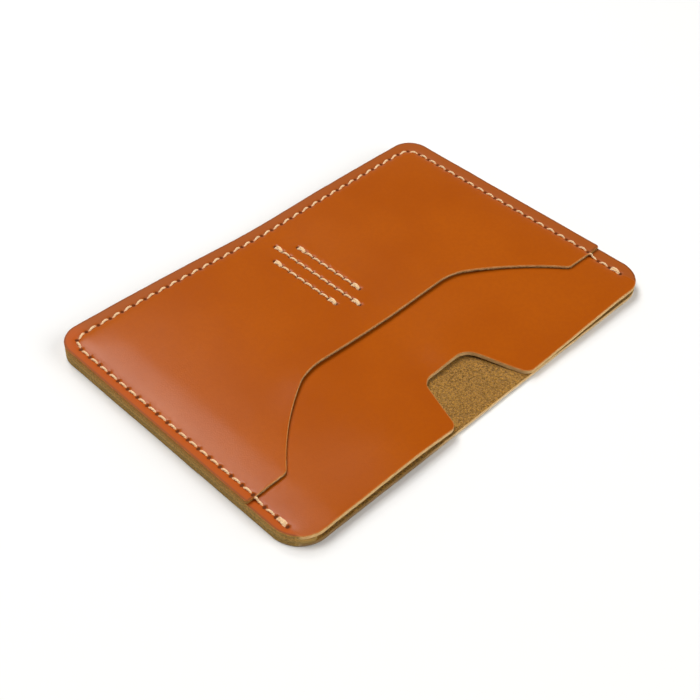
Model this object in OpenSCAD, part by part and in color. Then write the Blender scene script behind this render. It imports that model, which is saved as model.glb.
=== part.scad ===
// Flat leather card holder of passport size: three panels of leather and two spacer welts, sewn
// together on three sides, with a main pocket open along one long side and a slip pocket in front.
// Millimetres. The origin is under the middle of the holder, on the surface that it lies on.
// +X runs along the long sides, +Y points to the sewn long side and +Z points up to the front.

/* [Overall size] */
// Length along the long sides
holder_l = 141.4; // [130:0.1:160]
// Width from the open long side to the sewn long side
holder_w = 94.8; // [90:0.1:100]
// Radius of the two corners at the sewn long side
corner_r = 7; // [5:0.5:8]
// Radius of the two corners at the open long side
open_corner_r = 9; // [7:0.5:10]

/* [Leather] */
// Thickness of the back and middle panels
panel_t = 1.3; // [1.2:0.1:1.8]
// Thickness of the front panel
front_t = 1.1; // [1:0.1:1.6]
// Thickness of the spacer welts, which hold the main pocket open at its two ends
welt_t = 1.4; // [0.8:0.1:2]
// Width of the spacer welts, which leave room for a passport between them
welt_w = 7; // [6:0.5:7.5]
// Distance from the centre at which the middle and front panels have risen half way to the welts
bend_half_l = 25; // [15:1:60]

/* [Front pocket mouth] */
// Length of the front panel at its two ends, down from the sewn side
front_end_len = 77; // [76:0.1:78]
// Length of the front panel at its middle, down from the sewn side
front_mid_len = 54.8; // [52:0.2:60]
// Length of the mouth's straight middle
mouth_mid_l = 57.4; // [50:0.2:62]
// Length of the mouth between the outer ends of its two curved shoulders
mouth_l = 113.4; // [108:0.2:116]
// Radius of the curved shoulders
shoulder_r = 90; // [60:5:150]

/* [Thumb notch] */
// Depth from the open side
notch_depth = 17.3; // [12:0.1:19]
// Width at the inner end, before its corners are rounded
notch_top_w = 17; // [14:0.5:20]
// Width at the open side, before its corners are rounded
notch_edge_w = 30; // [26:0.5:34]
// Radius of the inner corners
notch_r = 3; // [2:0.5:4]
// Radius of the two lips at the open side
lip_r = 2; // [1:0.5:4]

/* [Main seam] */
// Distance from the seam to the left short side
seam_inset_left = 2.9; // [2.6:0.1:3.6]
// Distance from the seam to the right short side
seam_inset_right = 4.5; // [3:0.1:5]
// Distance from the seam to the sewn long side
seam_inset_top = 3.8; // [3:0.1:4.5]
// Radius of the seam's two corners
seam_r = 4; // [3:0.5:5]
// Distance from the seam's two ends to the open side
seam_end = 6.7; // [6.5:0.1:6.9]
// Length of one stitch, before it is rounded to a whole number of stitches
stitch_len = 4; // [3.95:0.01:4.05]
// Thickness of the needle thread, which shows on the front
needle_thread_d = 0.8; // [0.6:0.05:0.9]
// Thickness of the bobbin thread, which shows on the underside
bobbin_thread_d = 0.6; // [0.5:0.05:0.7]
// Diameter of the needle holes
hole_d = 0.9; // [0.8:0.05:1]

/* [Decorative rows] */
// Distance from the middle of the holder to the middle row, to the right
row_x = 0.3; // [-1:0.1:1]
// Distance from one row to the next
row_gap = 4.7; // [4:0.1:6]
// Distance from the middle of the holder to the middle of the rows
row_mid_y = 19.4; // [17:0.1:21]
// Length of one stitch in the rows
row_stitch_len = 3.18; // [2.9:0.02:3.3]
// Stitches in the middle row
middle_row_stitches = 11; // [9:1:12]
// Stitches in the left and right rows
side_row_stitches = 8; // [5:1:9]

/* [Hidden] */
$fn = 48;

half_l = holder_l / 2;
half_w = holder_w / 2;
welt_inner = half_l - welt_w;
middle_top = 2 * panel_t;           // height of the middle panel's top at the centre
stack_t = middle_top + welt_t + front_t;
over = 1;                           // how far a cutter runs past what it cuts
clear = 0.02;                       // between a thread and the leather that it lies on
groove_w = 2 * bobbin_thread_d + 0.1;
groove_d = bobbin_thread_d + 0.1;   // the bobbin thread lies sunk in its groove
leg_d = 0.5;                        // thread where it goes through the leather
stitch_gap = 0.15;                  // from the end of a stitch to the next, over their hole
tack_strands = 2;                   // the first and last stitches of a row are sewn twice
tack_step = 0.75;                   // between the strands of a tack, in thread thicknesses
leg_lap = 0.1;                      // how far a leg goes past the middle of a stitch
knee_lap = 0.06;                    // how far two strands run past the knee where they meet
bend_steps = 24;                    // flats that make up the bend of a panel

grain = [0.75, 0.38, 0.08];
cut_edge = [0.62, 0.47, 0.25];
cream = [0.96, 0.84, 0.66];

// ---- sheets of leather ----

// How far the welts lift the middle and front panels, which lie on the back panel at the centre
function bend(x) = pow(x, 2) / (pow(x, 2) + pow(bend_half_l, 2));
function lift(x) = welt_t * min(1, bend(x) / bend(welt_inner));

// A flat sheet with the holder's rounded outline
module flat_sheet(t) {
    sewn = [half_l - corner_r, half_w - corner_r];
    open = [half_l - open_corner_r, open_corner_r - half_w];
    linear_extrude(height = t) for (m = [0, 1]) mirror([m, 0]) {
        translate([0, open[1]]) square([half_l, sewn[1] - open[1]]);
        translate([-over, 0]) square([sewn[0] + over, half_w]);
        translate([-over, -half_w]) square([open[0] + over, half_w + over]);
        translate(sewn) circle(r = corner_r);
        translate(open) circle(r = open_corner_r);
    }
}

// The same sheet bent up over the welts, with its lower face at height z0 at the centre
module bent_sheet(z0, t) {
    end_x = half_l + over;
    bend_x = [for (i = [0:bend_steps]) welt_inner * (2 * i / bend_steps - 1)];
    low = concat([[-end_x, welt_t]], [for (x = bend_x) [x, lift(x)]], [[end_x, welt_t]]);
    high = [for (i = [len(low) - 1:-1:0]) [low[i][0], low[i][1] + t]];
    intersection() {
        flat_sheet(stack_t + over);
        translate([0, half_w + over, z0]) rotate([90, 0, 0])
            linear_extrude(height = holder_w + 2 * over) polygon(concat(low, high));
    }
}

// ---- the lines of the seam and the rows ----

seam_x = half_l - (seam_inset_left + seam_inset_right) / 2;
seam_mid_x = (seam_inset_left - seam_inset_right) / 2;  // the seam and the mouth centre here
seam_y = half_w - seam_inset_top;
seam_low = seam_end - half_w;
side_run = seam_y - seam_r - seam_low;
corner_run = PI / 2 * seam_r;
top_run = 2 * (seam_x - seam_r);
seam_run = 2 * side_run + 2 * corner_run + top_run;
seam_stitches = round(seam_run / stitch_len);

// The point at distance s along the left half of the seam: up the side, round the corner, along
function left_seam_point(s) =
    s < side_run ? [-seam_x, seam_low + s]
    : s < side_run + corner_run
    ? let (a = 180 - (s - side_run) / corner_run * 90)
      [-seam_x + seam_r * (1 + cos(a)), seam_y + seam_r * (sin(a) - 1)]
    : [-seam_x + seam_r + s - side_run - corner_run, seam_y];
function seam_point(s) =
    s <= seam_run / 2 ? left_seam_point(s)
    : let (p = left_seam_point(seam_run - s)) [-p[0], p[1]];
seam_holes = [for (i = [0:seam_stitches])
    seam_point(i * seam_run / seam_stitches) + [seam_mid_x, 0]];

// A decorative row: its holes from the top end down
function row_holes(x, stitches) =
    [for (i = [0:stitches]) [x, row_mid_y + (stitches / 2 - i) * row_stitch_len]];
middle_row = row_holes(row_x, middle_row_stitches);
left_row = row_holes(row_x - row_gap, side_row_stitches);
right_row = row_holes(row_x + row_gap, side_row_stitches);
row_meet = middle_top + (groove_d + front_t) / 2;   // where a row's two threads meet

module needle_holes(points) {
    for (p = points)
        translate([p[0], p[1], -over]) cylinder(d = hole_d, h = stack_t + 2 * over);
}

// The groove under the back panel that the seam's bobbin thread is sunk in
module seam_groove() {
    module inside(grow, low_y) {
        square_x = seam_x - seam_r;
        translate([-seam_x - grow, low_y])
            square([2 * (seam_x + grow), seam_y - seam_r - low_y]);
        translate([-square_x, low_y]) square([2 * square_x, seam_y + grow - low_y]);
        for (s = [-1, 1]) translate([s * square_x, seam_y - seam_r]) circle(r = seam_r + grow);
    }
    translate([seam_mid_x, 0, -over]) linear_extrude(height = groove_d + over) difference() {
        inside(groove_w / 2, seam_low - groove_w / 2);
        inside(-groove_w / 2, seam_low - groove_w);
    }
}

// The groove under the front panel that a row's bobbin thread is sunk in
module row_groove(points) {
    top_y = points[0][1] + groove_w / 2;
    low_y = points[len(points) - 1][1] - groove_w / 2;
    translate([points[0][0] - groove_w / 2, low_y, middle_top - over])
        cube([groove_w, top_y - low_y, over + groove_d]);
}

// ---- thread ----

// A length of thread from a to b with round ends
module strand(a, b, d) {
    v = b - a;
    translate(a) rotate([0, acos(v[2] / norm(v)), atan2(v[1], v[0])])
        rotate_extrude() intersection() {
            translate([0, -d]) square([d, norm(v) + 2 * d]);
            union() {
                translate([-d / 2, 0]) square([d, norm(v)]);
                circle(d = d);
                translate([0, norm(v)]) circle(d = d);
            }
        }
}

// A point of a thread's path is [x, y, z] at a hole, and [x, y, z, "knee"] where the thread
// only bends over an edge.
function is_hole(p) = len(p) == 3;
function place(p) = [p[0], p[1], p[2]];
function trim(p, d) = is_hole(p) ? (d + stitch_gap) / 2 : -knee_lap;

// A stitch from the point a to the point b, of one or more strands side by side
module stitch(a, b, d, strands) {
    v = place(b) - place(a);
    along = v / norm(v);
    side = [-along[1], along[0], 0] * d * tack_step;
    for (k = [0:strands - 1]) {
        shift = side * (k - (strands - 1) / 2);
        strand(place(a) + along * trim(a, d) + shift, place(b) - along * trim(b, d) + shift, d);
    }
}

// One thread along its whole path. In each hole a leg goes through the leather to z_meet, where
// it meets the other thread of the seam.
module thread(path, d, z_meet) {
    last = len(path) - 2;
    for (i = [0:last])
        stitch(path[i], path[i + 1], d, i == 0 || i == last ? tack_strands : 1);
    for (p = path) if (is_hole(p)) {
        leg = p[2] > z_meet ? [z_meet, p[2] + leg_lap] : [p[2] - leg_lap, z_meet];
        translate([p[0], p[1], leg[0]]) cylinder(d = leg_d, h = leg[1] - leg[0]);
    }
}

// The seam's needle thread lies on the front panel. Past its ends the thread bends down over the
// panel's edge, at a knee, to the middle panel.
front_end_y = half_w - front_end_len;
needle_lift = clear + needle_thread_d / 2;
function on_front(p) = p[1] > front_end_y;
function seam_top(p) = middle_top + lift(p[0]) + (on_front(p) ? front_t : 0) + needle_lift;
function knee(p) =
    [p[0], front_end_y - needle_lift, middle_top + lift(p[0]) + front_t + needle_lift, "knee"];
seam_needle_path = [for (i = [0:seam_stitches])
    let (p = seam_holes[i], before = seam_holes[max(0, i - 1)])
    each concat(on_front(p) != on_front(before) ? [knee(p)] : [], [[p[0], p[1], seam_top(p)]])];

// ---- the pieces ----

module notch() {
    lean = atan2((notch_edge_w - notch_top_w) / 2, notch_depth);
    wall = [sin(lean), -cos(lean)];
    corner = [notch_top_w / 2, notch_depth - half_w];
    lip = [notch_edge_w / 2, -half_w];
    inner_run = notch_r / tan(45 + lean / 2);
    lip_run = lip_r / tan(45 + lean / 2);
    inner_c = corner - [inner_run, notch_r];
    lip_c = lip + [lip_run, lip_r];
    linear_extrude(height = stack_t + over) for (m = [0, 1]) mirror([m, 0]) {
        polygon([[0, corner[1]], corner - [inner_run, 0], corner + inner_run * wall, lip,
                 lip - [0, over], [0, -half_w - over]]);
        translate(inner_c) circle(r = notch_r);
        difference() {
            polygon([lip - lip_run * wall, lip_c, lip_c - [0, lip_r + over], lip - [0, over]]);
            translate(lip_c) circle(r = lip_r);
        }
    }
}

module pocket_mouth() {
    low = [mouth_l / 2, front_end_y];
    high = [mouth_mid_l / 2, half_w - front_mid_len];
    chord = high - low;
    out = [chord[1], -chord[0]] / norm(chord);
    centre = (low + high) / 2 - out * sqrt(pow(shoulder_r, 2) - pow(norm(chord) / 2, 2));
    bulge = shoulder_r - sqrt(pow(shoulder_r, 2) - pow(norm(chord) / 2, 2)) + over;
    linear_extrude(height = stack_t + over) for (m = [0, 1]) mirror([m, 0]) {
        polygon([[0, high[1]], high, low, [holder_l, low[1]],
                 [holder_l, -half_w - over], [0, -half_w - over]]);
        intersection() {
            polygon([low, high, high + out * bulge, low + out * bulge]);
            translate(centre) circle(r = shoulder_r);
        }
    }
}

module back_panel() {
    color(cut_edge) difference() {
        flat_sheet(panel_t);
        needle_holes(seam_holes);
        seam_groove();
    }
}

// A spacer welt, whose lowest x is given
module welt(low_x) {
    color(cut_edge) translate([0, 0, panel_t]) difference() {
        intersection() {
            flat_sheet(welt_t);
            translate([low_x, -half_w, 0]) cube([welt_w, holder_w, welt_t]);
        }
        needle_holes(seam_holes);
    }
}

module left_welt() {
    welt(-half_l);
}

module right_welt() {
    welt(welt_inner);
}

module middle_panel() {
    color(grain) difference() {
        bent_sheet(panel_t, panel_t);
        notch();
        needle_holes(seam_holes);
    }
}

module front_panel() {
    color(grain) difference() {
        bent_sheet(middle_top, front_t);
        translate([seam_mid_x, 0, 0]) pocket_mouth();
        needle_holes(seam_holes);
        for (row = [left_row, middle_row, right_row]) {
            needle_holes(row);
            row_groove(row);
        }
    }
}

module seam_needle_thread() {
    color(cream) thread(seam_needle_path, needle_thread_d, panel_t);
}

module seam_bobbin_thread() {
    z = groove_d - clear - bobbin_thread_d / 2;
    color(cream) thread([for (p = seam_holes) [p[0], p[1], z]], bobbin_thread_d, panel_t);
}

module row_needle_thread(row) {
    z = middle_top + lift(row[0][0]) + front_t + needle_lift;
    color(cream) thread([for (p = row) [p[0], p[1], z]], needle_thread_d, row_meet);
}

module row_bobbin_thread(row) {
    z = middle_top + groove_d - clear - bobbin_thread_d / 2;
    color(cream) thread([for (p = row) [p[0], p[1], z]], bobbin_thread_d, row_meet);
}

back_panel();
left_welt();
right_welt();
middle_panel();
front_panel();
seam_needle_thread();
seam_bobbin_thread();
row_needle_thread(left_row);  // left_row_needle_thread
row_bobbin_thread(left_row);  // left_row_bobbin_thread
row_needle_thread(middle_row);  // middle_row_needle_thread
row_bobbin_thread(middle_row);  // middle_row_bobbin_thread
row_needle_thread(right_row);  // right_row_needle_thread
row_bobbin_thread(right_row);  // right_row_bobbin_thread
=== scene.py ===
# %% [markdown]
# # A sewn leather card holder
# A flat holder of passport size: a back, a middle and a front panel of orange-tan leather, two
# thin welts that keep its short sides apart, and cream thread. The sizes and places come from the
# frame, a plain model of the holder that this script dresses. Each panel is cut, bent and sewn
# again here in fine detail. The work is done in millimetres and scaled to metres at the end.

# %% Load the fixed frame
import math

import bmesh
import bpy
import numpy as np
from mathutils import Matrix, Vector, noise


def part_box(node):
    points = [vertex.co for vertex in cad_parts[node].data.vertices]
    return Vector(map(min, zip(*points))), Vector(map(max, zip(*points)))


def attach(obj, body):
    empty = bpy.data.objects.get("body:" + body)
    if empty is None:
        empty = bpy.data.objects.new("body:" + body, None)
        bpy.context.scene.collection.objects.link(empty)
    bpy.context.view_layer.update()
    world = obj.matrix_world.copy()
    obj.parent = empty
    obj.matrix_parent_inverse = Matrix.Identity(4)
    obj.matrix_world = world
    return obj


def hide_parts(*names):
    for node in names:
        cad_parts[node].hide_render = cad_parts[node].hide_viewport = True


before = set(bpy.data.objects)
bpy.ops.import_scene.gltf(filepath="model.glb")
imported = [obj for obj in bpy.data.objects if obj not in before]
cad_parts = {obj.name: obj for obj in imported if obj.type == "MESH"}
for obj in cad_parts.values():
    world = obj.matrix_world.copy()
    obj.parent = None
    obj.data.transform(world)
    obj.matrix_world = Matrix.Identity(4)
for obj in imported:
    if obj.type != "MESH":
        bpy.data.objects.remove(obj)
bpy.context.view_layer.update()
MM = 0.001
print("frame nodes:", len(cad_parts))

# %% [markdown]
# The thicknesses of the leather follow from the heights of the frame's boxes. The seam, the notch
# and the mouth of the front pocket are drawn with the same dimensions as on the plain model.

# %% Sizes in millimetres
back_low, back_high = (Vector(corner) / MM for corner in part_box("back_panel"))
welt_low, welt_high = (Vector(corner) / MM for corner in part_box("right_welt"))
front_low, front_high = (Vector(corner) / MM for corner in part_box("front_panel"))
HALF_L = back_high.x
HALF_W = back_high.y
PANEL_T = back_high.z
WELT_T = welt_high.z - welt_low.z
WELT_INNER = welt_low.x
FRONT_T = front_high.z - 2 * PANEL_T - WELT_T
FRONT_END_Y = front_low.y
CLOSED_R, OPEN_R = 7, 9
BEND_HALF_L = 25
NOTCH_DEPTH, NOTCH_TOP_W, NOTCH_EDGE_W = 17.3, 17, 30
NOTCH_R, LIP_R = 3, 2
MOUTH_Y = HALF_W - 54.8
MOUTH_MID_L, MOUTH_L = 57.4, 113.4
SHOULDER_R, MOUTH_R, MOUTH_END_R = 90, 2, 0.8
FRONT_TIP_R, WELT_R = 0.6, 0.3
SEAM_LEFT, SEAM_RIGHT, SEAM_TOP, SEAM_END = 2.9, 4.5, 3.8, 6.7
WORK_X = (SEAM_LEFT - SEAM_RIGHT) / 2
SEAM_X = HALF_L - (SEAM_LEFT + SEAM_RIGHT) / 2
SEAM_Y, SEAM_LOW = HALF_W - SEAM_TOP, SEAM_END - HALF_W
SEAM_R, SEAM_STITCHES = 4, 75
ROW_X, ROW_GAP, ROW_MID_Y = 0.3, 4.7, 19.4
ROW_STITCH_LEN, MIDDLE_ROW, SIDE_ROW = 3.18, 11, 8
NEEDLE_D, BOBBIN_D = 0.66, 0.55
print(f"half size {HALF_L:.1f} x {HALF_W:.1f}, leather {PANEL_T:.2f} and {FRONT_T:.2f}, welt {WELT_T:.2f}")

# %% [markdown]
# The camera comes first. It looks down on the table at about 42 degrees from beyond the near left
# corner, held slightly askew, and everything else is judged through it. A camera looks along its
# own -Z with +Y up, which is what to_track_quat is told.

# %% Camera
CAMERA_PLACE = Vector((-0.18525, -0.16335, 0.22502))
CAMERA_AIM = Vector((-0.01201, -0.00649, 0.0))
CAMERA_ROLL = math.radians(3.35)
LENS = 60.84
camera = bpy.data.objects.new("camera", bpy.data.cameras.new("camera"))
camera.data.lens = LENS
camera.data.clip_start = 0.01
looking = (CAMERA_AIM - CAMERA_PLACE).to_track_quat("-Z", "Y").to_matrix()
tilted = looking @ Matrix.Rotation(CAMERA_ROLL, 3, "Z")
camera.matrix_world = Matrix.Translation(CAMERA_PLACE) @ tilted.to_4x4()
bpy.context.scene.collection.objects.link(camera)
bpy.context.scene.camera = camera
bpy.context.scene.view_settings.view_transform = "Standard"
print("camera at", CAMERA_PLACE)

# %% [markdown]
# The table is plain white and brightly lit. A window light stands behind the holder: only the
# left third of the leather mirrors it, as a soft pale sheen. A broad light high on the left
# throws the soft shadows to the right of the mouth and of the holder, and a weaker one in front
# brightens the cut edges of the open side. The leather mirrors neither towards the camera.

# %% Table and light
LIGHT_DISTANCE = 1.25
TABLE_HALF = 1.1
TABLE_Z = -0.00003


def area_light(name, azimuth, elevation, lean, width, height, power, colour):
    """A rectangular light in this direction from the holder, turned about that direction by the lean.
    Its angles are in degrees."""
    lamp = bpy.data.objects.new(name, bpy.data.lights.new(name, "AREA"))
    lamp.data.shape = "RECTANGLE"
    lamp.data.size, lamp.data.size_y = width, height
    lamp.data.energy = power
    lamp.data.color = colour
    flat = math.cos(math.radians(elevation))
    way = Vector((flat * math.cos(math.radians(azimuth)), flat * math.sin(math.radians(azimuth)),
                  math.sin(math.radians(elevation))))
    turn = way.to_track_quat("Z", "Y").to_matrix() @ Matrix.Rotation(math.radians(lean), 3, "Z")
    lamp.matrix_world = Matrix.Translation(way * LIGHT_DISTANCE) @ turn.to_4x4()
    bpy.context.scene.collection.objects.link(lamp)


area_light("window", 72, 51, 36, 0.36, 0.52, 4.3, (1.0, 0.96, 0.94))
area_light("left light", 118, 68, 0, 0.6, 0.6, 10.8, (1.0, 1.0, 0.99))
area_light("front light", -68, 34, 0, 0.9, 0.9, 8.6, (1.0, 1.0, 0.99))

table_mesh = bmesh.new()
bmesh.ops.create_grid(table_mesh, x_segments=1, y_segments=1, size=TABLE_HALF)
bmesh.ops.translate(table_mesh, vec=(0, 0, TABLE_Z), verts=table_mesh.verts)
table = bpy.data.objects.new("table", bpy.data.meshes.new("table"))
table_mesh.to_mesh(table.data)
table_mesh.free()
bpy.context.scene.collection.objects.link(table)

# %% [markdown]
# Materials are node trees. To write their arithmetic as ordinary Python, a Wire wraps one socket,
# and the signs between wires add Math nodes. Any other node comes from Wire.node, which takes the
# node's type, then its settings, then what goes into its sockets.

# %% Wires between nodes
def linear(red, green, blue):
    """A colour as a screen shows it, from 0 to 255, as the linear colour that a shader takes."""
    return tuple(((c / 255 + 0.055) / 1.055) ** 2.4 if c > 10 else c / 3294.6
                 for c in (red, green, blue)) + (1.0,)


class Wire:
    """A value that changes over a surface, on its way through a material's nodes."""

    def __init__(self, tree, socket):
        self.tree = tree
        self.socket = socket

    def node(self, kind, settings, sockets, out=0):
        made = self.tree.nodes.new(kind)
        for name, value in settings.items():
            setattr(made, name, value)
        for name, value in sockets.items():
            if isinstance(value, Wire):
                self.tree.links.new(value.socket, made.inputs[name])
            else:
                made.inputs[name].default_value = value
        return Wire(self.tree, made.outputs[out])

    def sum(self, operation, *values):
        return self.node("ShaderNodeMath", {"operation": operation}, dict(enumerate(values)))

    def __add__(self, other):
        return self.sum("ADD", self, other)

    def __sub__(self, other):
        return self.sum("SUBTRACT", self, other)

    def __rsub__(self, other):
        return self.sum("SUBTRACT", other, self)

    def __mul__(self, other):
        return self.sum("MULTIPLY", self, other)

    __radd__ = __add__
    __rmul__ = __mul__

    def ramp(self, low, high):
        """0 up to low, 1 from high on, and smooth between them. Low may be the greater one."""
        settings = {"interpolation_type": "SMOOTHSTEP"}
        return self.node("ShaderNodeMapRange", settings, {0: self, 1: low, 2: high, 3: 0.0, 4: 1.0})

    def blend(self, first, second):
        """The first colour where this wire is 0 and the second where it is 1."""
        settings = {"data_type": "RGBA", "clamp_factor": True}
        return self.node("ShaderNodeMix", settings, {0: self, 6: first, 7: second}, out=2)

    def scaled(self, x, y, z):
        settings = {"operation": "MULTIPLY"}
        return self.node("ShaderNodeVectorMath", settings, {0: self, 1: (x, y, z)})

    def clouds(self, per_mm, detail=2.0, roughness=0.5):
        """Soft noise from 0 to 1 with this many clouds to the millimetre."""
        sockets = {"Vector": self, "Scale": per_mm / MM, "Detail": detail, "Roughness": roughness}
        return self.node("ShaderNodeTexNoise", {}, sockets)

    def cells(self, per_mm):
        """The distance to the middle of the nearest cell, with this many cells to the millimetre."""
        return self.node("ShaderNodeTexVoronoi", {}, {"Vector": self, "Scale": per_mm / MM})

    def along(self, axis):
        """One coordinate of a place."""
        return self.node("ShaderNodeSeparateXYZ", {}, {"Vector": self}, out=axis)

    def relief(self, depth_mm, strength=1.0):
        """This wire, from 0 to 1, as bumps of this height."""
        sockets = {"Height": self, "Distance": depth_mm * MM, "Strength": strength}
        return self.node("ShaderNodeBump", {}, sockets)


# %% [markdown]
# The room has pale walls and a dim ceiling. The walls fill the shadows on the cut edges, and the
# dim ceiling keeps the colour of the leather deep, because that is what the leather mirrors.

# %% Room
room = bpy.data.worlds.new("room")
room.use_nodes = True
bpy.context.scene.world = room
room_tree = room.node_tree
way_out = Wire(room_tree, room_tree.nodes.new("ShaderNodeTexCoord").outputs["Generated"])
wall, ceiling = (0.7, 0.69, 0.68, 1.0), (0.06, 0.06, 0.06, 1.0)
room_colour = way_out.along("Z").ramp(0.1, 0.5).blend(wall, ceiling)
room_tree.links.new(room_colour.socket, room_tree.nodes["Background"].inputs["Color"])
print("room nodes:", len(room_tree.nodes))


# %% [markdown]
# Each material starts alike, and every mesh carries numbers at its points that a material reads.

# %% Start of a material
def start_finish(name):
    """A new material with its shader, and its Object coordinates as a wire."""
    finish = bpy.data.materials.new(name)
    finish.use_nodes = True
    tree = finish.node_tree
    place = Wire(tree, tree.nodes.new("ShaderNodeTexCoord").outputs["Object"])
    return finish, tree.nodes["Principled BSDF"], place


def mark(place, name):
    """A number that the mesh carries at each of its points."""
    return place.node("ShaderNodeAttribute", {"attribute_name": name}, {}, out="Fac")


def feed(shader, place, **sockets):
    """Sets or wires the shader's sockets, named with _ for a space."""
    for name, value in sockets.items():
        socket = shader.inputs[name.replace("_", " ")]
        if isinstance(value, Wire):
            place.tree.links.new(value.socket, socket)
        else:
            socket.default_value = value


# %% [markdown]
# The grain side is the smooth, dyed outside of the hide. Real finished leather is never one flat
# colour: the dye lies in soft clouds, darker where the edge of the sheet was pressed under the
# seam, and the surface keeps a very fine pebble and a few shallow dents. Along an open edge the
# rim is pale, and outside the seam it is dark. The needle holes are darkened with painted shade,
# from a number called "hole" that the mesh carries.

# %% Grain side of the leather
def grain_finish():
    finish, shader, place = start_finish("grain side")
    clouds = place.clouds(0.035, 3).ramp(0.3, 0.7)
    specks = place.clouds(0.9, 3).ramp(0.35, 0.65)
    inset = mark(place, "inset")
    border = mark(place, "border")
    hole = mark(place, "hole").ramp(0.2, 0.6)
    base = clouds.blend(linear(164, 76, 6), linear(171, 82, 8))
    base = (specks * 0.25).blend(base, linear(157, 71, 6))
    left_side = place.along("X").ramp(-0.060, -0.066)
    pressed = left_side.blend(linear(154, 76, 16), linear(176, 78, 10))
    base = (border * 0.8).blend(base, pressed)
    rim = border.blend(linear(206, 138, 72), linear(116, 64, 26))
    near_rim = border * inset.ramp(0.9, 0.3) + (1 - border) * inset.ramp(0.35, 0.05)
    base = (near_rim * 0.65).blend(base, rim)
    # Painted shade: the needle holes are darkened where the mesh's "hole" number is high.
    base = hole.blend(base, linear(104, 50, 16))
    pebble = place.cells(2.6).ramp(0.0, 0.8)
    fine = place.clouds(6, 2)
    dents = place.clouds(0.12, 2)
    height = pebble * 0.5 + fine * 0.35 + dents * 1.5
    roughness = specks * 0.04 + border * 0.3 + hole * 0.5 + 0.21
    feed(shader, place, Base_Color=base, Roughness=roughness, Normal=height.relief(0.03, 0.75),
         Specular_IOR_Level=0.2)
    return finish


# %% [markdown]
# The flesh side is the hide's inside: suede, with short matted fibres that catch the light as
# golden and dark grains. The thumb notch shows it. Grains of two sizes are mixed, and their
# height goes to the normal as well as to the colour, so that light and colour agree.

# %% Flesh side of the leather
def flesh_finish():
    finish, shader, place = start_finish("flesh side")
    coarse = place.clouds(1.9, 3, 0.7).ramp(0.36, 0.64)
    small = place.clouds(4.5, 2, 0.6).ramp(0.36, 0.64)
    patch = place.clouds(0.08, 2).ramp(0.3, 0.7)
    fibre = coarse * 0.55 + small * 0.45
    base = fibre.blend(linear(80, 52, 12), linear(222, 162, 66))
    base = (patch * 0.25).blend(base, linear(160, 110, 34))
    # Painted shade: the needle holes are darkened on the flesh side as well.
    base = mark(place, "hole").ramp(0.25, 0.8).blend(base, linear(60, 38, 16))
    feed(shader, place, Base_Color=base, Roughness=0.9, Normal=fibre.relief(0.35, 0.9),
         Specular_IOR_Level=0.1, Sheen_Weight=0.15, Sheen_Roughness=0.4)
    return finish


# %% [markdown]
# A cut edge shows the hide in section. The dye reaches in only a little way under the grain, and
# below it the fibres are pale tan to olive. The number "depth", 0 on the grain side and 1 on the
# flesh side, places the dye line, and noise stretched along the sheet makes the fibres.

# %% Cut edges
def edge_finish(name, clean, sewn, dye, rubbed_dye_and_shade=0.0):
    """Clean, sewn and dye are each a pair of colours: at the grain side and at the flesh side on
    the open edges, the same on the sewn edges, and the dye line on the open and sewn edges.
    The last argument says how much painted shade darkens the open edge to the left of the notch."""
    finish, shader, place = start_finish(name)
    border = mark(place, "border")
    depth = mark(place, "depth")
    fibre = place.scaled(1, 1, 2).clouds(1.5, 4, 0.7).ramp(0.36, 0.64)
    lump = place.clouds(0.35, 2).ramp(0.3, 0.7)
    deep = (depth + fibre * 0.3 - 0.15).ramp(0.1, 0.9)
    base = border.blend(deep.blend(*clean), deep.blend(*sewn))
    base = (fibre * (border * 0.45 + 0.15)).blend(base, linear(80, 60, 24))
    base = (lump * 0.2).blend(base, linear(150, 120, 66))
    dye_line = (depth * (1 - border * 0.5) + fibre * 0.14).ramp(0.28, 0.06)
    base = dye_line.blend(base, border.blend(*dye))
    left_part = place.along("X").ramp(-0.012, -0.030)
    # Painted shade: the open edge is darkened to the left of the notch, by the last argument's share.
    base = (left_part * (1 - border) * rubbed_dye_and_shade).blend(base, SHADE_OLIVE_BROWN)
    feed(shader, place, Base_Color=base, Roughness=0.85, Normal=fibre.relief(0.22, 0.9),
         Specular_IOR_Level=0.15)
    return finish


# %% [markdown]
# The thread is waxed polyester in a warm cream. Its plies are modelled, so the finish only adds
# the fine fibres and some dye that rubbed off in the hollows.

# %% Thread
def thread_finish():
    finish, shader, place = start_finish("cream thread")
    fibre = place.clouds(5, 3, 0.7)
    rubbed_dye_and_shade = place.clouds(0.25, 2).ramp(0.45, 0.75)
    base = fibre.ramp(0.3, 0.7).blend(linear(226, 184, 134), linear(252, 224, 180))
    base = (rubbed_dye_and_shade * 0.35).blend(base, linear(232, 176, 116))
    feed(shader, place, Base_Color=base, Roughness=0.55, Normal=fibre.relief(0.05, 0.6),
         Specular_IOR_Level=0.3, Sheen_Weight=0.1)
    return finish


def table_finish():
    finish, shader, place = start_finish("white table")
    feed(shader, place, Base_Color=(0.87, 0.87, 0.865, 1.0), Roughness=0.9,
         Specular_IOR_Level=0.1)
    return finish


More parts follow.
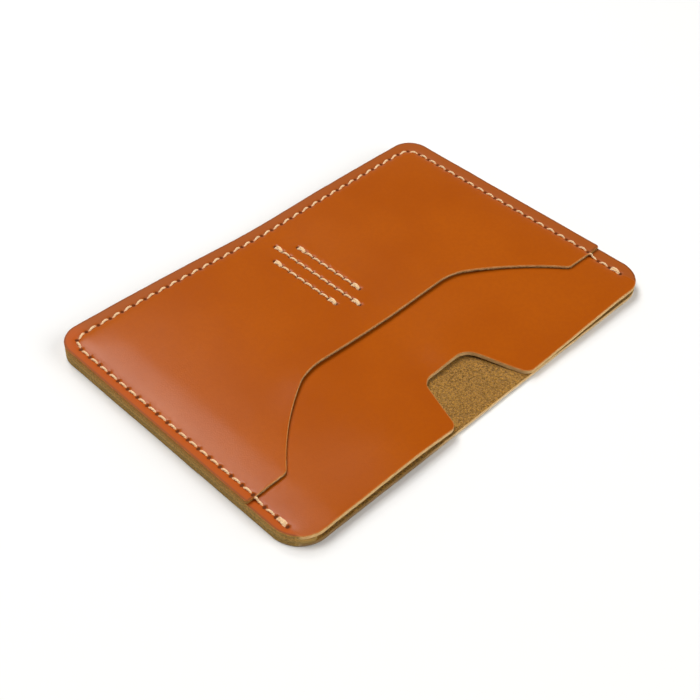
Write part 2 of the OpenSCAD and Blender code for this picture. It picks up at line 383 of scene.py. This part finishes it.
GRAIN, FLESH = grain_finish(), flesh_finish()
TAN, CREAM_EDGE_AND_HIGHLIGHT, BROWN = linear(254, 208, 142), linear(255, 238, 208), linear(112, 72, 30)
SHADE_OLIVE_BROWN, PALE_RUST = linear(132, 96, 42), linear(200, 140, 66)
OLIVE, DARK_OLIVE = linear(208, 162, 86), linear(190, 156, 90)
ORANGE, RUST = linear(200, 112, 40), linear(196, 118, 48)
FRONT_EDGE = edge_finish("front cut edge", (TAN, BROWN), (RUST, OLIVE), (ORANGE, RUST))
MIDDLE_EDGE = edge_finish("middle cut edge", (TAN, TAN), (OLIVE, OLIVE), (ORANGE, PALE_RUST))
WELT_EDGE = edge_finish("welt cut edge", (OLIVE, DARK_OLIVE), (OLIVE, DARK_OLIVE), (OLIVE, OLIVE))
# The back's cut edge is cream along its lower, grain side: partly the edge's own pale colour and partly
# painted highlight. Left of the notch it is darkened with painted shade.
BACK_EDGE = edge_finish("back cut edge", (CREAM_EDGE_AND_HIGHLIGHT, TAN), (DARK_OLIVE, OLIVE), (CREAM_EDGE_AND_HIGHLIGHT, DARK_OLIVE),
                        rubbed_dye_and_shade=0.8)
THREAD = thread_finish()
table.data.materials.append(table_finish())
print("finishes:", len(bpy.data.materials))

# %% [markdown]
# Every sheet is cut along an outline, and an outline is a formula: outline(x, y) is how far a
# point lies outside it, and it is negative on the leather. Formulas like these combine well. The
# greater of two keeps what both keep, and round_max does the same but rounds the corner.

# %% Outlines
def round_max(first, second, radius):
    """What two outlines share, with the corner between them rounded."""
    outer = np.hypot(np.maximum(first + radius, 0), np.maximum(second + radius, 0))
    return np.minimum(np.maximum(first, second), -radius) + outer


def full_outline(x, y):
    return round_max(np.abs(x) - HALF_L, np.abs(y) - HALF_W, np.where(y > 0, CLOSED_R, OPEN_R))


def notch_outline(x, y):
    """The thumb notch, negative in its opening."""
    lean = math.atan2((NOTCH_EDGE_W - NOTCH_TOP_W) / 2, NOTCH_DEPTH)
    from_wall = (np.abs(x) - NOTCH_TOP_W / 2) * math.cos(lean)
    wall = from_wall + (y - NOTCH_DEPTH + HALF_W) * math.sin(lean)
    return round_max(wall, y - NOTCH_DEPTH + HALF_W, NOTCH_R)


def mouth_outline(x, y):
    """The mouth of the front pocket, negative in its opening."""
    low = Vector((MOUTH_L / 2, FRONT_END_Y))
    high = Vector((MOUTH_MID_L / 2, MOUTH_Y))
    chord = high - low
    out = Vector((chord.y, -chord.x)).normalized()
    centre = (low + high) / 2 - out * math.sqrt(SHOULDER_R**2 - chord.length_squared / 4)
    shoulder = np.hypot(np.abs(x - WORK_X) - centre.x, y - centre.y) - SHOULDER_R
    scoop = round_max(shoulder, y - MOUTH_Y, MOUTH_R)
    return -round_max(-scoop, FRONT_END_Y - y, MOUTH_END_R)


def middle_outline(x, y):
    return round_max(full_outline(x, y), -notch_outline(x, y), LIP_R)


def front_outline(x, y):
    return round_max(full_outline(x, y), -mouth_outline(x, y), FRONT_TIP_R)


def right_welt_outline(x, y):
    return round_max(full_outline(x, y), WELT_INNER - x, WELT_R)


def left_welt_outline(x, y):
    return right_welt_outline(-x, y)


print("middle of the notch lies", round(float(notch_outline(0.0, -40.0)), 2), "mm in its opening")

# %% [markdown]
# The seam runs up the left side, round the corner, along the closed side and down again, with
# evenly spaced holes. Three short rows of stitches decorate the front panel. Each line is a list
# of holes, and each hole knows the way that the line runs there.

# %% Lines of stitches
SIDE_RUN = SEAM_Y - SEAM_R - SEAM_LOW
CORNER_RUN = math.pi / 2 * SEAM_R
SEAM_RUN = 2 * SIDE_RUN + 2 * CORNER_RUN + 2 * (SEAM_X - SEAM_R)


def seam_point(run):
    """The seam's point at this distance from its left end."""
    if run > SEAM_RUN / 2:
        mirrored = seam_point(SEAM_RUN - run)
        return Vector((2 * WORK_X - mirrored.x, mirrored.y))
    left = WORK_X - SEAM_X
    if run < SIDE_RUN:
        return Vector((left, SEAM_LOW + run))
    if run < SIDE_RUN + CORNER_RUN:
        turn = math.pi - (run - SIDE_RUN) / SEAM_R
        return Vector((left + SEAM_R * (1 + math.cos(turn)), SEAM_Y + SEAM_R * (math.sin(turn) - 1)))
    return Vector((left + SEAM_R + run - SIDE_RUN - CORNER_RUN, SEAM_Y))


def row(x, stitches):
    return [Vector((x, ROW_MID_Y + (stitches / 2 - i) * ROW_STITCH_LEN)) for i in range(stitches + 1)]


seam = [seam_point(i * SEAM_RUN / SEAM_STITCHES) for i in range(SEAM_STITCHES + 1)]
rows = {"left": row(ROW_X - ROW_GAP, SIDE_ROW), "middle": row(ROW_X, MIDDLE_ROW),
        "right": row(ROW_X + ROW_GAP, SIDE_ROW)}
row_holes = sum(rows.values(), [])
print("seam holes:", len(seam), "row holes:", len(row_holes))


def past_seam(x, y):
    """How far a point lies outside the line of the seam, and negative inside it."""
    return round_max(np.abs(x - WORK_X) - SEAM_X, y - SEAM_Y, SEAM_R)


def seam_gap(x, y):
    """How far a point lies from the seam, to either side of it or past its ends."""
    return np.hypot(past_seam(x, y), np.maximum(SEAM_LOW - y, 0))


def rows_gap(x, y):
    """How far a point lies from the nearest row."""
    gaps = []
    for holes in rows.values():
        beyond = np.abs(y - ROW_MID_Y) - abs(holes[0].y - ROW_MID_Y)
        gaps.append(np.hypot(x - holes[0].x, np.maximum(beyond, 0)))
    return np.minimum.reduce(gaps)


SLIT_LONG, SLIT_WIDE, SLIT_DEPTH = 0.6, 0.5, 0.42
ROW_SLIT_WIDE = 0.42
SLIT_REACH = 2.5


def slits(x, y, holes, long, wide):
    """1 in the middle of each needle hole, falling to 0 around it. The holes are slits that lie
    across the line."""
    depth = np.zeros_like(x)
    for i, hole in enumerate(holes):
        way = (holes[min(i + 1, len(holes) - 1)] - holes[max(i - 1, 0)]).normalized()
        near = np.hypot(x - hole.x, y - hole.y) < SLIT_REACH
        dx, dy = x[near] - hole.x, y[near] - hole.y
        along = dx * way.x + dy * way.y
        across = dx * way.y - dy * way.x
        depth[near] = np.maximum(depth[near], np.exp(-((along / wide) ** 2) - (across / long) ** 2))
    return depth


# %% [markdown]
# A sheet starts as a plain grid. The grid is divided finer near the outline and the stitches, the
# faces outside are deleted, and the ragged border is extruded ring by ring: each new ring is
# pulled on to the outline along the formula's own slope, and lowered a little, so the rings draw
# the rounded, cut edge. Half of the thickness is made this way and mirrored for the other half.

# %% Cut a flat sheet
GRID_L, GRID_W, GRID_STEP = 144, 97.5, 1.5
FINE_REACHES = ((3.2, 2.4), (0.9, 1.1))
HOLE_LONG, HOLE_WIDE, HOLE_SHARE = 1.0, 0.7, 0.3
RAGGED_MARGIN = 0.1
SLOPE_STEP = 0.02
PULLS = 4
CORNER_TURNS = (30, 60, 90)
WALL_SHARES = (0.33, 0.67, 1.0)
FACE_RINGS = 2
UPPER, LOWER, CUT = 0, 1, 2


def places(parts):
    """The x and y of vertices, or of the middles of edges."""
    if isinstance(parts[0], bmesh.types.BMVert):
        spots = [(v.co.x, v.co.y) for v in parts]
    else:
        spots = [((e.verts[0].co.x + e.verts[1].co.x) / 2, (e.verts[0].co.y + e.verts[1].co.y) / 2)
                 for e in parts]
    return np.array(spots).T


def slope(outline, x, y):
    """The way straight out of the outline, as a unit vector, and how steeply it rises there."""
    rise_x = outline(x + SLOPE_STEP, y) - outline(x - SLOPE_STEP, y)
    rise_y = outline(x, y + SLOPE_STEP) - outline(x, y - SLOPE_STEP)
    steepness = np.maximum(np.hypot(rise_x, rise_y), 1e-9)
    return rise_x / steepness, rise_y / steepness, steepness / (2 * SLOPE_STEP)


def pull_to(outline, verts, inset):
    """Moves vertices straight on to the line that lies this far inside the outline."""
    x, y = places(verts)
    for _ in range(PULLS):
        out_x, out_y, steepness = slope(outline, x, y)
        miss = (outline(x, y) + inset) / np.maximum(steepness, 0.3)
        x, y = x - miss * out_x, y - miss * out_y
    for vert, vx, vy in zip(verts, x, y):
        vert.co.x, vert.co.y = vx, vy


def divide(sheet, near):
    """Cuts in two every edge whose middle is near, by a test of x and y."""
    chosen = [e for e, is_near in zip(sheet.edges, near(*places(list(sheet.edges)))) if is_near]
    bmesh.ops.subdivide_edges(sheet, edges=chosen, cuts=1, use_grid_fill=True)


def edge_rings(half, corner):
    """How far inside the outline and how far below the upper face each ring of the edge lies: a
    quarter circle, and then straight down to the middle of the thickness."""
    rings = [(corner, 0.0)]
    for turn in CORNER_TURNS:
        rings.append((corner * (1 - math.sin(math.radians(turn))),
                      corner * (1 - math.cos(math.radians(turn)))))
    return rings + [(0.0, corner + (half - corner) * share) for share in WALL_SHARES]


def cut_sheet(outline, thickness, corner, fine_gap, holes):
    """A closed flat sheet about z = 0, with corners rounded by this much where it was cut."""
    half = thickness / 2
    sheet = bmesh.new()
    stretch = Matrix.Diagonal((GRID_L, GRID_W, 1, 1))
    bmesh.ops.create_grid(sheet, x_segments=round(GRID_L / GRID_STEP),
                          y_segments=round(GRID_W / GRID_STEP), size=0.5, matrix=stretch)
    for edge_reach, seam_reach in FINE_REACHES:
        divide(sheet, lambda x, y: ((np.abs(outline(x, y)) < edge_reach) | (fine_gap(x, y) < seam_reach))
               & (outline(x, y) < GRID_STEP))
    if holes:
        divide(sheet, lambda x, y: slits(x, y, holes, HOLE_LONG, HOLE_WIDE) > HOLE_SHARE)

    x, y = places(list(sheet.verts))
    outside = outline(x, y) > -(corner + RAGGED_MARGIN)
    bmesh.ops.delete(sheet, geom=[v for v, out in zip(sheet.verts, outside) if out], context="VERTS")
    bmesh.ops.delete(sheet, geom=[v for v in sheet.verts if not v.link_faces], context="VERTS")
    bmesh.ops.translate(sheet, vec=(0, 0, half), verts=sheet.verts)

    border = [e for e in sheet.edges if e.is_boundary]
    for step, (inset, drop) in enumerate(edge_rings(half, corner)):
        made = bmesh.ops.extrude_edge_only(sheet, edges=border)["geom"]
        ring = [part for part in made if isinstance(part, bmesh.types.BMVert)]
        border = [part for part in made if isinstance(part, bmesh.types.BMEdge) and part.is_boundary]
        for face in (part for part in made if isinstance(part, bmesh.types.BMFace)):
            face.material_index = UPPER if step < FACE_RINGS else CUT
        pull_to(outline, ring, inset)
        for vert in ring:
            vert.co.z = half - drop
    bmesh.ops.mirror(sheet, geom=sheet.verts[:] + sheet.edges[:] + sheet.faces[:],
                     matrix=Matrix.Identity(4), merge_dist=1e-4, axis="Z")
    for face in sheet.faces:
        if face.material_index == UPPER and face.calc_center_median().z < 0:
            face.material_index = LOWER
    bmesh.ops.recalc_face_normals(sheet, faces=sheet.faces)
    return sheet


# %% [markdown]
# The flat sheet is then bent and worked like the real one. A shape function says where each point
# of the mid-surface lies, and emboss functions press the seam's groove and the needle holes into
# the two faces. The mesh also gets its numbers for the materials: "inset" from the outline,
# "hole" in the needle holes, and "depth" through the thickness.

# %% Bend and emboss a sheet
def smooth_step(low, high, value):
    share = np.clip((value - low) / (high - low), 0, 1)
    return share * share * (3 - 2 * share)


def bump(value, middle, width):
    """1 at the middle, falling to 0 over about twice the width to either side."""
    return np.exp(-(((value - middle) / width) ** 2))


def bend(x):
    return x**2 / (x**2 + BEND_HALF_L**2)


def lift(x):
    """How far the welts lift the middle and front panels at this x."""
    return WELT_T * np.minimum(1, bend(x) / bend(WELT_INNER))


def wander(x, y, z, per_mm, seed):
    """Soft noise at points, from about -1 to 1."""
    return np.array([noise.noise(Vector((a * per_mm + seed, b * per_mm, c * per_mm)))
                     for a, b, c in zip(x, y, z)])


def work_sheet(name, sheet, outline, thickness, rise, upper, lower, holes, finishes, grain_up=True):
    """Turns a cut sheet into a named object. rise(x, y) is the height of its lower face, and
    upper and lower give how far each face is pressed in. The cut edge wavers a little."""
    mesh = bpy.data.meshes.new(name)
    sheet.to_mesh(mesh)
    sheet.free()
    spots = np.empty(len(mesh.vertices) * 3)
    mesh.vertices.foreach_get("co", spots)
    x, y, z = spots.reshape(-1, 3).T.copy()
    distance = outline(x, y)
    out_x, out_y, _ = slope(outline, x, y)
    half = thickness / 2
    rough = (wander(x, y, 3 * z, 0.9, 7) * 0.05 + wander(x, y, z, 0.12, 31) * 0.08) - 0.08
    at_edge = smooth_step(-0.8, 0, distance)
    side = z / half
    new_z = rise(x, y) + half + z
    new_z -= np.clip(side, 0, 1) * upper(x, y) - np.clip(-side, 0, 1) * lower(x, y)
    x, y = x + out_x * rough * at_edge, y + out_y * rough * at_edge
    mesh.vertices.foreach_set("co", (np.stack((x, y, new_z), 1) * MM).ravel())
    depth = 0.5 - side / 2 if grain_up else 0.5 + side / 2
    marks = {"inset": np.maximum(-distance, 0), "hole": slits(x, y, holes, SLIT_LONG, SLIT_WIDE),
             "border": smooth_step(-0.3, 0.5, past_seam(x, y)), "depth": depth}
    for mark_name, values in marks.items():
        mesh.attributes.new(mark_name, "FLOAT", "POINT").data.foreach_set("value", values)
    for finish in finishes:
        mesh.materials.append(finish)
    mesh.shade_smooth()
    piece = bpy.data.objects.new(name, mesh)
    bpy.context.scene.collection.objects.link(piece)
    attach(piece, "root")
    print(f"{name}: {len(mesh.polygons)} faces, z {new_z.min():.2f} to {new_z.max():.2f}")
    return piece


def plain(x, y):
    return np.zeros_like(x)


# %% [markdown]
# The panels. The back lies flat with its grain side down. The middle panel rises over the welts,
# and its free edge at the open side stands off the back on the left of the notch and lies on it
# on the right. The front panel follows the middle one, and the mouth of its pocket stands open by
# a hair. Inside the seam of each short side the leather bulges a little, and along the closed
# side the seam draws all layers together.

# %% Heights
LEFT_GAPE, RIGHT_DROP, BROW, CROWN, MOUTH_GAPE = 1.1, 0.55, 0.8, 0.34, 0.4
LEAST_GAP = 0.02


def back_rise(x, y):
    """Between the welts the seam draws the closed side of the back panel up to the others."""
    free = smooth_step(WELT_INNER, 55, np.abs(x))
    return lift(x) * free * smooth_step(24, HALF_W - 1, y)


def middle_lift(x, y):
    """How far the middle panel stands off the back one. The gape is at the open side, the brow
    above the notch, and the crown inside the seams of the short sides."""
    open_side = smooth_step(-18, -44, y)
    gape = LEFT_GAPE * bump(x, -27, 19) - RIGHT_DROP * bump(x, 25, 17)
    brow = BROW * bump(x, 5, 9) * smooth_step(-14, -29, y) * smooth_step(-46, -34, y)
    from_middle = np.abs(x - WORK_X)
    crown = CROWN * smooth_step(68, 56, from_middle) * np.minimum(1, from_middle / 57) ** 2
    crown *= smooth_step(43, 33, y)
    return np.maximum(lift(x) + open_side * gape + brow + crown, LEAST_GAP)


def middle_rise(x, y):
    return PANEL_T + middle_lift(x, y)


def front_rise(x, y):
    mouth = smooth_step(9, 0, mouth_outline(x, y)) * smooth_step(48, 30, np.abs(x))
    return 2 * PANEL_T + LEAST_GAP + middle_lift(x, y) + MOUTH_GAPE * mouth


def seam_press(x, y):
    """The seam lies in a narrow groove in a wide, shallow one."""
    gap = seam_gap(x, y)
    groove = 0.14 * bump(gap, 0, 0.6) + 0.2 * bump(gap, 0, 1.8)
    return groove + SLIT_DEPTH * slits(x, y, seam, SLIT_LONG, SLIT_WIDE)


def front_press(x, y):
    groove = 0.08 * bump(rows_gap(x, y), 0, 0.55)
    return seam_press(x, y) + groove + SLIT_DEPTH * slits(x, y, row_holes, SLIT_LONG, ROW_SLIT_WIDE)


def bobbin_groove(x, y):
    """The groove under the back panel, deep enough to keep the bobbin thread off the table."""
    return 0.62 * np.exp(-((seam_gap(x, y) / 0.62) ** 4))


# %% Panels and welts
every_hole = seam + row_holes


def front_gap(x, y):
    """How far a point lies from the nearest line of stitches of the front panel."""
    return np.minimum(seam_gap(x, y), rows_gap(x, y))


def welt_rise(x, y):
    return PANEL_T + plain(x, y)


sheet = cut_sheet(full_outline, PANEL_T, 0.25, seam_gap, seam)
back = work_sheet("back_leather", sheet, full_outline, PANEL_T, back_rise, plain, bobbin_groove, seam,
                  (FLESH, GRAIN, BACK_EDGE), grain_up=False)
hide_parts("back_panel")

for side, outline in (("left", left_welt_outline), ("right", right_welt_outline)):
    sheet = cut_sheet(outline, WELT_T, 0.08, seam_gap, [])
    welt = work_sheet(f"{side}_welt_strip", sheet, outline, WELT_T, welt_rise, plain, plain, [],
                      (FLESH, FLESH, WELT_EDGE))
    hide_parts(f"{side}_welt")

sheet = cut_sheet(middle_outline, PANEL_T, 0.14, seam_gap, seam)
middle = work_sheet("middle_leather", sheet, middle_outline, PANEL_T, middle_rise, seam_press, plain,
                    seam, (GRAIN, FLESH, MIDDLE_EDGE))
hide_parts("middle_panel")

sheet = cut_sheet(front_outline, FRONT_T, 0.18, front_gap, every_hole)
front = work_sheet("front_leather", sheet, front_outline, FRONT_T, front_rise, front_press, plain,
                   every_hole, (GRAIN, FLESH, FRONT_EDGE))
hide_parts("front_panel")

# %% [markdown]
# The thread is laid, three plies twisted round each other. Each stitch comes up out of one hole,
# arches over the leather and goes down into the next. A ply is a curve with a round section: its
# points follow the stitch and wind round it, and Blender turns the curve into a closed tube. The
# two ends of a stitch lie on opposite sides of its holes, which gives the seam its slant.

# %% Sew with three plies
PLIES = 3
PLY_STEPS = 14
PLY_R, WIND_R = 0.27, 0.25
TWIST_LEN = 2.2
FIRST_SHARE, SEEN_SHARE = 0.11, 0.78
TACK_STRANDS = ((-0.36, 0.5, 0.0), (0.36, -0.2, 0.1), (0.0, -1.0, 0.3))


def stitch_line(first, second, height, depth, slant, swell, arching=0.5):
    """The middle of a stitch as points: (x, y, z), from under one hole to under the next. The
    greater arching is, the less of the stitch shows."""
    way = second - first
    across = Vector((-way.y, way.x)).normalized()
    line = []
    for i in range(PLY_STEPS + 1):
        share = i / PLY_STEPS
        along = FIRST_SHARE + SEEN_SHARE * share
        spot = first + way * along + across * slant * (share - 0.5)
        arch = max(math.sin(math.pi * share), 0) ** arching
        line.append(Vector((spot.x, spot.y, height(spot) - depth + (depth + swell) * arch)))
    return line


def sew(name, lines, thick):
    """Lays a thread along each line and joins them into one piece."""
    curve = bpy.data.curves.new(name, "CURVE")
    curve.dimensions = "3D"
    curve.bevel_depth = PLY_R * thick * MM
    curve.bevel_resolution = 1
    curve.use_fill_caps = True
    wind = WIND_R * thick
    for line in lines:
        run = 0.0
        points = [[] for _ in range(PLIES)]
        for i, spot in enumerate(line):
            ahead = (line[min(i + 1, len(line) - 1)] - line[max(i - 1, 0)]).normalized()
            sideways = ahead.cross(Vector((0, 0, 1))).normalized()
            upwards = sideways.cross(ahead)
            if i:
                run += (spot - line[i - 1]).length
            for ply in range(PLIES):
                turn = 2 * math.pi * (run / TWIST_LEN + ply / PLIES)
                points[ply].append(spot + wind * (math.cos(turn) * sideways + math.sin(turn) * upwards))
        for ply in points:
            spline = curve.splines.new("POLY")
            spline.points.add(len(ply) - 1)
            for point, spot in zip(spline.points, ply):
                point.co = (*(spot * MM), 1)
    laid = bpy.data.objects.new(name + "_curve", curve)
    bpy.context.scene.collection.objects.link(laid)
    mesh = bpy.data.meshes.new_from_object(laid.evaluated_get(bpy.context.evaluated_depsgraph_get()))
    bpy.data.objects.remove(laid)
    tidy = bmesh.new()
    tidy.from_mesh(mesh)
    bmesh.ops.remove_doubles(tidy, verts=tidy.verts, dist=1e-6)
    bmesh.ops.recalc_face_normals(tidy, faces=tidy.faces)
    tidy.to_mesh(mesh)
    tidy.free()
    mesh.materials.clear()
    mesh.materials.append(THREAD)
    mesh.shade_smooth()
    piece = bpy.data.objects.new(name, mesh)
    bpy.context.scene.collection.objects.link(piece)
    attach(piece, "root")
    print(f"{name}: {len(mesh.polygons)} faces in {len(lines)} stitches")
    return piece


# %% Seam threads
PRESSED = 0.3
BOBBIN_SUNK = 0.36


def front_top(spot):
    """The height of the pressed surface that the needle thread of the seam lies on. It steps down
    to the middle panel past the front panel's end."""
    over_edge = float(smooth_step(FRONT_END_Y - 1.1, FRONT_END_Y - 0.3, spot.y))
    return 2 * PANEL_T + float(lift(spot.x)) + over_edge * FRONT_T - PRESSED


def beside(line, shift):
    """The same stitch, moved sideways."""
    way = line[-1] - line[0]
    across = Vector((-way.y, way.x, 0)).normalized()
    return [spot + across * shift for spot in line]


def tack(lines, holes, height, depth, swell):
    """The first and the last stitch are sewn four times over, and the strands cross."""
    for first, second in ((holes[0], holes[1]), (holes[-2], holes[-1])):
        for shift, slant, more in TACK_STRANDS:
            strand = stitch_line(first, second, height, depth, slant, swell + more)
            lines.append(beside(strand, shift))
    return lines


def seam_lines(height, depth, slants, swell):
    """The seam's stitches. They slant more along the closed side than along the short sides."""
    lines = []
    for first, second in zip(seam, seam[1:]):
        closed = min(1, abs(second.x - first.x) / abs((second - first).length))
        slant = slants[0] + (slants[1] - slants[0]) * closed
        arching = 0.85 - 0.15 * closed
        lines.append(stitch_line(first, second, height, depth, slant, swell, arching))
    return tack(lines, seam, height, depth, swell)


needle_lines = seam_lines(front_top, depth=0.8, slants=(0.4, 0.75), swell=0.3)
needle = sew("seam_needle_stitches", needle_lines, NEEDLE_D)
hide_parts("seam_needle_thread")


def under_back(spot):
    """The height in the groove that the bobbin thread of the seam hangs from."""
    return float(back_rise(np.float64(spot.x), np.float64(spot.y))) + BOBBIN_SUNK


bobbin_lines = seam_lines(under_back, depth=-0.25, slants=(0.2, 0.2), swell=-0.05)
bobbin = sew("seam_bobbin_stitches", bobbin_lines, BOBBIN_D)
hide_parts("seam_bobbin_thread")

# %% Row threads
ROW_PRESSED, ROW_SWELL, ROW_NEEDLE_DEPTH = 0.08, 0.28, 0.5
ROW_UNDER = 2 * PANEL_T + 0.38


def level(z):
    """The height of a flat surface, wherever it is asked for."""
    return lambda spot: z


for side, holes in rows.items():
    top = level(2 * PANEL_T + float(lift(np.float64(holes[0].x))) + FRONT_T - ROW_PRESSED)
    pairs = list(zip(holes, holes[1:]))
    lines = [stitch_line(a, b, top, ROW_NEEDLE_DEPTH, 0.35, ROW_SWELL) for a, b in pairs]
    lines = tack(lines, holes, top, ROW_NEEDLE_DEPTH, ROW_SWELL)
    needle = sew(f"{side}_row_needle_stitches", lines, NEEDLE_D)
    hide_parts(f"{side}_row_needle_thread")
    lines = [stitch_line(a, b, level(ROW_UNDER), -0.2, 0.2, 0.0) for a, b in pairs]
    bobbin = sew(f"{side}_row_bobbin_stitches", lines, BOBBIN_D)
    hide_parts(f"{side}_row_bobbin_thread")
